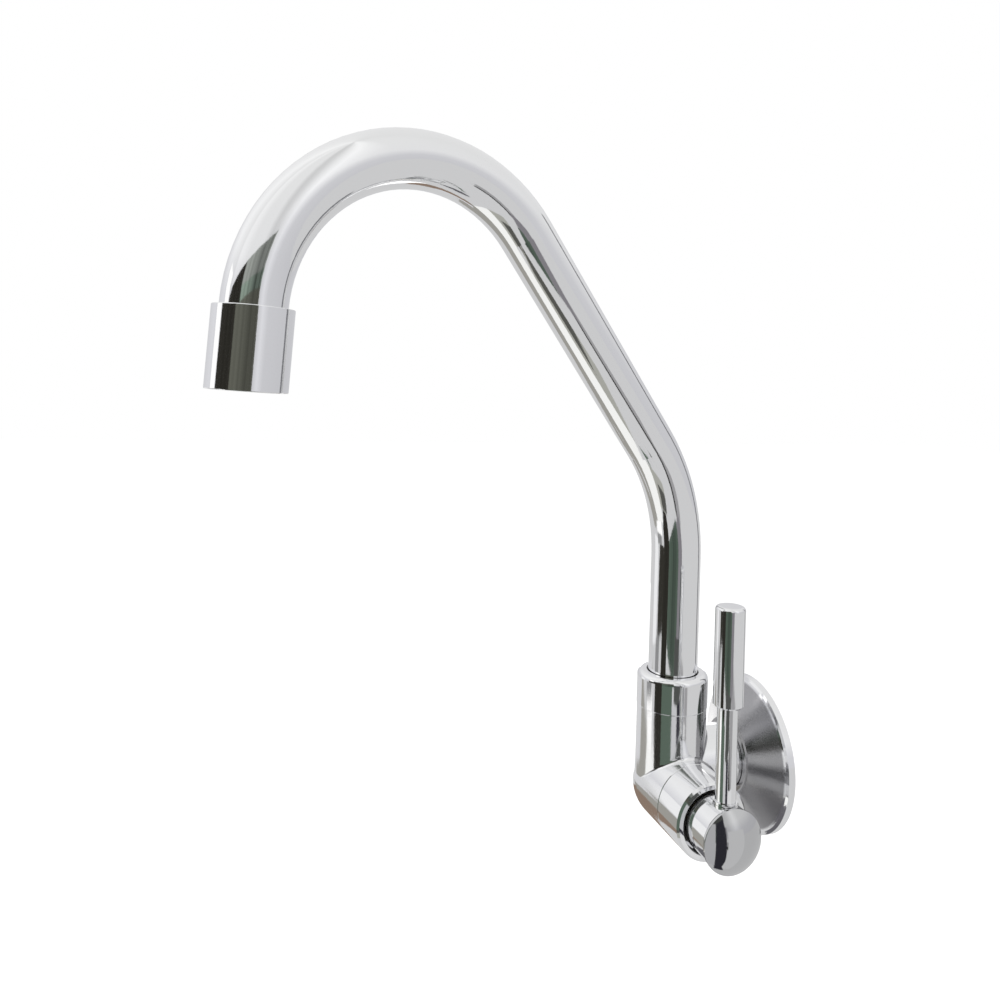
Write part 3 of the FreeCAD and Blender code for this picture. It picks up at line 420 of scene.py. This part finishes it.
class Plate:
    """A thin plate round the outlet's axis, drawn in the plane across the stream."""

    def __init__(self, centre):
        self.centre = centre
        self.stream = direction(SPOUT_SWING, OUTLET_LEAN - 90)
        self.across = self.stream.orthogonal().normalized()
        self.along = self.stream.cross(self.across)
        self.points, self.faces = [], []

    def loop(self, middle, reach, turns, half_height):
        """A polygon on both sides of the plate, as two ranges of point numbers."""
        count, first = len(turns), len(self.points)
        for level in (-half_height, half_height):
            for turn in turns:
                x, y = middle[0] + reach * math.cos(turn), middle[1] + reach * math.sin(turn)
                self.points.append(self.centre + self.across * x + self.along * y
                                   + self.stream * level)
        return range(first, first + count), range(first + count, first + 2 * count)

    def frame_side(self, outer, inner, corner, closed):
        """One side between an outer and an inner polygon, with its outer wall if closed."""
        after = (corner + 1) % len(outer[0])
        for outside, inside in zip(outer, inner):
            self.faces.append((outside[corner], outside[after], inside[after], inside[corner]))
        for low, high in [inner] + [outer] * closed:
            self.faces.append((low[corner], low[after], high[after], high[corner]))


def honeycomb_screen(material):
    """The aerator's screen as a fine honeycomb inside its rim."""
    low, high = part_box("aerator_screen")
    plate = Plate((low + high) / 2)
    reach = round(MESH_REACH / CELL_PITCH) + 1
    cells = {}
    for column in range(-reach, reach + 1):
        for row in range(-reach, reach + 1):
            place = (CELL_PITCH * (column + row / 2), CELL_PITCH * row * math.sqrt(3) / 2)
            if math.hypot(*place) + CELL_CORNER < MESH_REACH:
                cells[column, row] = place
    for (column, row), place in cells.items():
        outer = plate.loop(place, CELL_CORNER, HEX_TURNS, MESH_HALF_HEIGHT)
        inner = plate.loop(place, HOLE_CORNER, HEX_TURNS, MESH_HALF_HEIGHT)
        for corner, (right, up) in enumerate(HEX_BESIDE):
            plate.frame_side(outer, inner, corner, (column + right, row + up) not in cells)
    turns = [math.tau * side / RIM_SIDES for side in range(RIM_SIDES)]
    outer = plate.loop((0, 0), RIM_OUTER, turns, RIM_HALF_HEIGHT)
    inner = plate.loop((0, 0), RIM_INNER, turns, RIM_HALF_HEIGHT)
    for side in range(RIM_SIDES):
        plate.frame_side(outer, inner, side, True)
    mesh = bpy.data.meshes.new("aerator_honeycomb")
    mesh.from_pydata(plate.points, [], plate.faces)
    mesh_piece("aerator_honeycomb", mesh, "spout", "aerator_screen", material, 30)


# Studio

WHITE = (1.0, 1.0, 1.0, 1)
ROOM_LIGHT = (0.8, 0.8, 0.8, 1)

# The tent's colour from straight down to straight up
TENT_RISE = [
    (0.0, (0.80, 0.80, 0.79)), (0.12, (0.74, 0.74, 0.73)), (0.25, (0.60, 0.59, 0.58)),
    (0.42, (0.62, 0.62, 0.64)), (0.58, (0.66, 0.66, 0.68)), (0.72, (0.84, 0.84, 0.84)),
    (1.0, (0.86, 0.86, 0.85))]

# Its brightness once round, from -Y by way of -X, +Y and +X
TENT_ROUND = [
    (0.0, 1.0), (0.10, 1.18), (0.20, 1.05), (0.28, 0.98), (0.50, 0.96), (0.64, 1.0),
    (0.685, 1.22), (0.735, 0.86), (0.76, 0.78), (0.80, 1.0), (0.90, 1.0), (0.97, 1.12)]


def make_world():
    """A pale tent: white to the camera, and shaded walls to the metal."""
    world = bpy.data.worlds.new("studio")
    bpy.context.scene.world = world
    world.use_nodes = True
    nodes = Nodes(world.node_tree)
    way = nodes.add("ShaderNodeTexCoord").outputs["Generated"]
    axes = nodes.add("ShaderNodeSeparateXYZ", {"Vector": way}).outputs
    turn = nodes.add("ShaderNodeMath", {0: axes["X"], 1: axes["Y"]}, operation="ARCTAN2")
    rise = nodes.ramp(nodes.share(axes["Z"], -1.0, 1.0), TENT_RISE)
    side = nodes.ramp(nodes.share(turn.outputs["Value"], -math.pi, math.pi), TENT_ROUND)
    walls = nodes.mix(1.0, rise, side, blend="MULTIPLY")
    path = nodes.add("ShaderNodeLightPath").outputs
    lit = nodes.mix(path["Is Glossy Ray"], ROOM_LIGHT, walls)
    seen = nodes.mix(path["Is Camera Ray"], lit, WHITE)
    back = nodes.add("ShaderNodeBackground", {"Color": seen, "Strength": 1.0})
    nodes.add("ShaderNodeOutputWorld", {"Surface": back.outputs["Background"]})


def sheet(name, corners, material):
    """A flat stage piece with any number of corners."""
    mesh = bpy.data.meshes.new(name)
    mesh.from_pydata([tuple(corner) for corner in corners], [], [tuple(range(len(corners)))])
    mesh.materials.append(material)
    piece = bpy.data.objects.new(name, mesh)
    bpy.context.scene.collection.objects.link(piece)
    return piece


# Streaks change often across a card and hardly at all up it
STREAK_SCALES = (17, 17, 0.6)


def card(name, corners, colour, streaks=0.0):
    """A studio card that only the metal mirrors. Streaks is how much its dark bands take away."""
    material, nodes = new_material(name)
    shade = (*colour, 1)
    if streaks:
        bands = nodes.ramp(nodes.marks(STREAK_SCALES, 2.0), [(0.32, 1 - streaks), (0.68, 1.0)])
        shade = nodes.mix(1.0, shade, bands, blend="MULTIPLY")
    nodes.show(nodes.glow(shade))
    piece = sheet(name, corners, material)
    piece.visible_camera = False
    piece.visible_diffuse = False
    piece.visible_shadow = False
    piece.visible_transmission = False
    piece.visible_volume_scatter = False


def upright(name, first, last, low, high, colour, streaks=0.0):
    """An upright card between two points of the floor plan."""
    bottom, top = Vector((0, 0, low)), Vector((0, 0, high))
    card(name, [first + bottom, last + bottom, last + top, first + top], colour, streaks)


def standing(name, x, corners, colour):
    """A card across the X axis, its corners given as (place along Y, height)."""
    card(name, [Vector((x, y, z)) for y, z in corners], colour)


def level(name, height, corners, colour):
    """A card that lies level, its corners given as (x, y)."""
    card(name, [Vector((x, y, height)) for x, y in corners], colour)


def rectangle(left, right, low, high):
    """The corners of a rectangle with its sides along the axes."""
    return [(left, low), (right, low), (right, high), (left, high)]


def plan(x, y):
    """A point of the floor plan."""
    return Vector((x, y, 0))


def round_valve(azimuth, distance):
    """The point of the floor plan at an azimuth and a distance from the valve."""
    return plan(VALVE.x, VALVE.y) + direction(azimuth) * distance


# The doorway on the floor plan, with places on it as shares of the way to its left end
DOOR_RIGHT = plan(0.347, -0.030)
DOOR_LEFT = plan(0.060, -0.750)
RIGHT_SHARE = 0.02
GREEN_LOW_SHARE = 0.14
GREEN_HIGH_SHARE = 0.185
MIDDLE_SHARE = 0.50
PAST_LEFT_SHARE = 1.17

# Heights where one card gives way to the next, and how far cards stand from the valve
WALL_FOOT = -0.22
DARK_FOOT = -0.15
DOOR_SPLIT = 0.10
OLIVE_TOP = 0.211
LINTEL_FOOT = 0.234
DOOR_TOP = 0.285
LEFT_DISTANCE = 0.70
NEAR_DISTANCE = 0.070

GREEN = (0.105, 0.142, 0.112)
OLIVE = (0.135, 0.137, 0.112)
CHARCOAL = (0.036, 0.034, 0.028)
DUSK = (0.036, 0.035, 0.044)
STRIP = (1.15, 1.14, 1.12)


def make_doorway():
    """The doorway in front, green on the picture's right and charcoal on its left, and its walls."""
    def along(share):
        return DOOR_RIGHT.lerp(DOOR_LEFT, share)

    def left(azimuth):
        return round_valve(azimuth, LEFT_DISTANCE)

    def near(azimuth):
        return round_valve(azimuth, NEAR_DISTANCE)

    middle, green_low, green_high = (along(share) for share in
                                     (MIDDLE_SHARE, GREEN_LOW_SHARE, GREEN_HIGH_SHARE))
    upright("door_edge", green_low, along(RIGHT_SHARE), -0.06, DOOR_SPLIT, (0.235, 0.225, 0.240))
    upright("door_green_low", middle, green_low, -0.07, DOOR_SPLIT, GREEN, 0.5)
    upright("door_green_near", near(32), near(62), -0.032, 0.018, GREEN)
    upright("door_green_high", middle, green_high, DOOR_SPLIT, OLIVE_TOP, OLIVE, 0.5)
    upright("door_green_top", middle, green_high, OLIVE_TOP, LINTEL_FOOT, (0.29, 0.36, 0.30), 0.8)
    upright("door_lintel", middle, green_high, LINTEL_FOOT, DOOR_TOP, (0.36, 0.38, 0.35), 0.6)
    upright("door_dark_high", along(PAST_LEFT_SHARE), middle, DOOR_SPLIT, DOOR_TOP, CHARCOAL, 0.4)
    upright("door_dark_low", DOOR_LEFT, middle, -0.32, DOOR_SPLIT, CHARCOAL, 0.4)
    upright("door_dark_side", left(-16), DOOR_LEFT, DARK_FOOT, DOOR_SPLIT, CHARCOAL)
    upright("wall_grey", left(-27), left(-8), WALL_FOOT, DARK_FOOT, (0.29, 0.29, 0.29))
    upright("strip_high", plan(-0.19, -0.76), plan(-0.01, -0.90), DOOR_SPLIT, 0.40, STRIP)
    upright("strip_riser", left(-52), left(-36), -0.16, DOOR_SPLIT, (0.93, 0.93, 0.93))
    upright("strip_body", left(-24), left(-4), -0.45, WALL_FOOT, STRIP)


# The planes of the small cards: by the cap, by the stem, left of the flange, below the barrel
CAP_CARD_X = 64.0 * MM
PALE_CARD_X = 64.5 * MM
STEM_CARD_X = 70.0 * MM
LEFT_CARD_X = -90.0 * MM
LOW_CARD_HEIGHT = -70.0 * MM

# The cap's dark band, between a light card on its left and a pale one on its right
BAND_LEFT = -53.0 * MM
BAND_RIGHT = -41.5 * MM
BAND_TOP = 8.0 * MM
BAND_FOOT = -90.0 * MM
BAND_GAP = 0.5 * MM


def make_small_cards():
    """Small cards near the valve: for the cap, the stem, the flange and its left side."""
    standing("cap_shade", CAP_CARD_X,
             [(BAND_LEFT, BAND_TOP), (-0.0445, 0.012), (BAND_RIGHT, -0.030), (BAND_RIGHT, -0.050),
              (-0.030, BAND_FOOT), (BAND_LEFT, BAND_FOOT)], DUSK)
    standing("cap_light", CAP_CARD_X,
             rectangle(-0.090, BAND_LEFT - BAND_GAP, -0.060, BAND_TOP), (0.60, 0.60, 0.61))
    standing("stem_dark", STEM_CARD_X,
             [(-0.068, 0.034), (-0.0445, 0.034), (-0.0445, 0.013), (-0.053, 0.004),
              (-0.068, 0.004)], (0.085, 0.088, 0.083))
    standing("cap_pale", PALE_CARD_X, rectangle(BAND_RIGHT, -0.024, -0.07, 0.0),
             (0.74, 0.74, 0.74))
    standing("left_light", LEFT_CARD_X, rectangle(-0.032, 0.05, -0.04, 0.05), (1.5, 1.49, 1.48))
    level("flange_shade", LOW_CARD_HEIGHT,
          [(0.014, -0.082), (0.001, -0.059), (-0.008, -0.0465), (-0.015, -0.037),
           (-0.021, -0.030), (-0.028, -0.040), (-0.030, -0.090), (-0.005, -0.110),
           (0.020, -0.110)], (0.125, 0.121, 0.133))


# The table top: x where its patches meet, y of its front and back, and the height of a patch
# that lies on another
GREY_LEFT = -0.46
WHITE_LEFT = -0.15
WHITE_RIGHT = 0.05
OLIVE_RIGHT = 0.21
TABLE_FRONT = -0.45
TABLE_BACK = -0.165
TABLE_HEIGHT = -0.158
UPPER_HEIGHT = TABLE_HEIGHT + 1.0 * MM

# The table's edge to the right of the camera, dark at its foot
EDGE_NEAR = plan(0.36, 0.10)
EDGE_FAR = plan(0.55, -0.12)
EDGE_SPLIT = -0.165

SIDE_DISTANCE = 0.200
BACK_DISTANCE = 1.0


def make_table():
    """A table top below in pale, olive and dark patches, its edge, and two cards beside it."""
    level("table_white", TABLE_HEIGHT,
          rectangle(WHITE_LEFT, WHITE_RIGHT, TABLE_FRONT, TABLE_BACK), (1.0, 1.0, 0.97))
    level("table_grey", TABLE_HEIGHT,
          rectangle(GREY_LEFT, WHITE_LEFT, TABLE_FRONT, -0.12), (0.36, 0.35, 0.32))
    level("table_brown", UPPER_HEIGHT,
          rectangle(-0.30, -0.165, -0.16, 0.10), (0.27, 0.20, 0.155))
    level("table_olive", TABLE_HEIGHT,
          rectangle(WHITE_RIGHT, OLIVE_RIGHT, -0.34, TABLE_BACK), (0.42, 0.42, 0.38))
    level("table_dark", UPPER_HEIGHT,
          rectangle(0.10, OLIVE_RIGHT, -0.33, -0.215), (0.10, 0.10, 0.09))
    upright("edge_line", EDGE_FAR, EDGE_NEAR, -0.215, EDGE_SPLIT, (0.045, 0.045, 0.042))
    upright("edge_grey", EDGE_FAR, EDGE_NEAR, EDGE_SPLIT, -0.085, (0.36, 0.355, 0.36))
    upright("side_pale", round_valve(-86, SIDE_DISTANCE), round_valve(-51, SIDE_DISTANCE),
            -0.080, -0.020, (0.70, 0.70, 0.71))
    upright("back_line", round_valve(188, BACK_DISTANCE), round_valve(196, BACK_DISTANCE),
            -0.40, 0.78, (0.20, 0.20, 0.21))


# The floor, with the light that it gives to the camera and to the metal
FLOOR_HEIGHT = -0.420
FLOOR_HALF = 6.0
FLOOR_COLOUR = (0.9, 0.9, 0.9, 1)
FLOOR_LIFT = 0.34
FLOOR_MIRRORED = 0.66


def make_floor():
    """A plain floor that keeps the shadow: lifted to white for the camera, greyer in the metal."""
    material, nodes = new_material("floor")
    matte = nodes.add("ShaderNodeBsdfDiffuse", {"Color": FLOOR_COLOUR}).outputs["BSDF"]
    lifted = nodes.add("ShaderNodeAddShader", {0: matte, 1: nodes.glow(WHITE, FLOOR_LIFT)})
    path = nodes.add("ShaderNodeLightPath").outputs
    seen = nodes.add("ShaderNodeMixShader", {"Fac": path["Is Camera Ray"], 1: matte,
                                             2: lifted.outputs["Shader"]})
    shown = nodes.add("ShaderNodeMixShader", {"Fac": path["Is Glossy Ray"],
                                              1: seen.outputs["Shader"],
                                              2: nodes.glow(WHITE, FLOOR_MIRRORED)})
    nodes.show(shown.outputs["Shader"])
    corners = rectangle(-FLOOR_HALF, FLOOR_HALF, -FLOOR_HALF, FLOOR_HALF)
    sheet("floor", [(x, y, FLOOR_HEIGHT) for x, y in corners], material)


LAMP_PLACE = Vector((0.2, -0.9, 1.1))
LAMP_AIM = Vector((0, -0.1, 0.1))
LAMP_SIZE = 0.8
LAMP_WATTS = 9.0


def make_lamp():
    """A large soft lamp that the metal doesn't mirror."""
    data = bpy.data.lights.new("key_lamp", "AREA")
    data.shape = "DISK"
    data.size = LAMP_SIZE
    data.energy = LAMP_WATTS
    lamp = bpy.data.objects.new("key_lamp", data)
    lamp.location = LAMP_PLACE
    lamp.rotation_euler = (LAMP_AIM - LAMP_PLACE).to_track_quat("-Z", "Y").to_euler()
    lamp.visible_glossy = False
    bpy.context.scene.collection.objects.link(lamp)


bpy.context.scene.view_settings.view_transform = "Standard"
make_camera()
make_world()
make_floor()
make_doorway()
make_small_cards()
make_table()
make_lamp()
materials = dress_nodes()
threaded_nipple(materials["brass"])
honeycomb_screen(materials["steel"])
